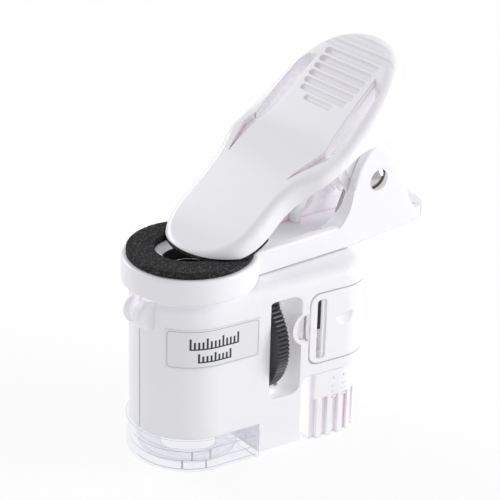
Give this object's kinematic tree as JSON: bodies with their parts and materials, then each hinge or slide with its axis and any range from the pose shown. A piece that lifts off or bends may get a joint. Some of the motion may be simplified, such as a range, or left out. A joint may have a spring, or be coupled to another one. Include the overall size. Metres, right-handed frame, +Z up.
{
  "type": "clip-on pocket microscope for a phone camera",
  "caption": "Spring clip with a foam ring that holds a small lit microscope with a focus wheel over a phone camera.",
  "frame": {"origin": "on the optical axis, at the foot of the clear base", "axes": "+Z up along the optical axis, +X from the optical axis towards the battery end and the clip tail, -Y the side with the focus wheel"},
  "size_m": [0.0901, 0.0363, 0.0919],
  "materials": {
    "shell_white": "satin gloss, moulded",
    "clip_white": "satin gloss, moulded",
    "cover_white": "satin gloss, moulded",
    "switch_white": "satin gloss, moulded",
    "clear_plastic": "clear, polished, moulded plastic",
    "label_grey": "printed film",
    "wheel_black": "satin, toothed",
    "gear_white": "plain nylon",
    "axle_steel": "drawn",
    "carriage_black": "matt against stray light",
    "eyepiece_black": "satin",
    "lens_glass": "polished",
    "cap_brass": "turned",
    "board_white": "white solder mask",
    "lamp_clear": "moulded, clear",
    "holder_black": "plain moulded",
    "cell_steel": "nickel plated",
    "contact_brass": "nickel plated strip",
    "screw_steel": "plated",
    "foam_black": "fine open-cell foam",
    "rivet_steel": "polished",
    "spring_steel": "drawn wire"
  },
  "bodies": {
    "microscope": {"housing_near": "shell_white", "housing_far": "shell_white", "clear_base": "clear_plastic", "label_plate": "label_grey", "eyepiece_tube": "eyepiece_black", "eyepiece_lens": "lens_glass", "lamp_board": "board_white", "lamp_1": "lamp_clear", "lamp_2": "lamp_clear", "lamp_3": "lamp_clear", "battery_holder": "holder_black", "battery_cell_1": "cell_steel", "battery_cell_2": "cell_steel", "battery_cell_3": "cell_steel", "contact_near": "contact_brass", "contact_far": "contact_brass", "housing_screw_1": "screw_steel", "housing_screw_2": "screw_steel", "clip_arm": "clip_white", "foam_ring": "foam_black", "pivot_pin": "rivet_steel", "torsion_spring": "spring_steel"},
    "lever": {"clip_lever": "clip_white", "jaw_pad": "foam_black"},
    "focus_wheel": {"focus_wheel": "wheel_black", "wheel_axle": "axle_steel", "focus_pinion": "gear_white"},
    "carriage": {"lens_carriage": "carriage_black", "objective_lens": "lens_glass", "objective_cap": "cap_brass"},
    "cover": {"battery_cover": "cover_white"},
    "switch": {"light_switch": "switch_white"}
  },
  "joints": [
    {"name": "lever_pivot", "type": "hinge", "parent": "microscope", "child": "lever", "pos_m": [0.0497, 0, 0.0605], "axis": [0, 1, 0], "range_deg": [0, 25], "stiffness_Nm_per_rad": 0.2, "springref_deg": -22.92, "deforming": ["torsion_spring"]},
    {"name": "wheel_spin", "type": "hinge", "parent": "microscope", "child": "focus_wheel", "pos_m": [0.0145, -0.0039, 0.0279], "axis": [1, 0, 0], "range_deg": [-32, 32]},
    {"name": "carriage_slide", "type": "slide", "parent": "microscope", "child": "carriage", "axis": [0, 0, 1], "range_m": [-0.002, 0.002]},
    {"name": "cover_slide", "type": "slide", "parent": "microscope", "child": "cover", "axis": [1, 0, 0], "range_m": [0, 0.012]},
    {"name": "switch_slide", "type": "slide", "parent": "microscope", "child": "switch", "axis": [1, 0, 0], "range_m": [-0.0018, 0]}
  ],
  "couplings": [
    {"joint": "wheel_spin", "follows": "carriage_slide", "rad_per_m": 277.78}
  ]
}
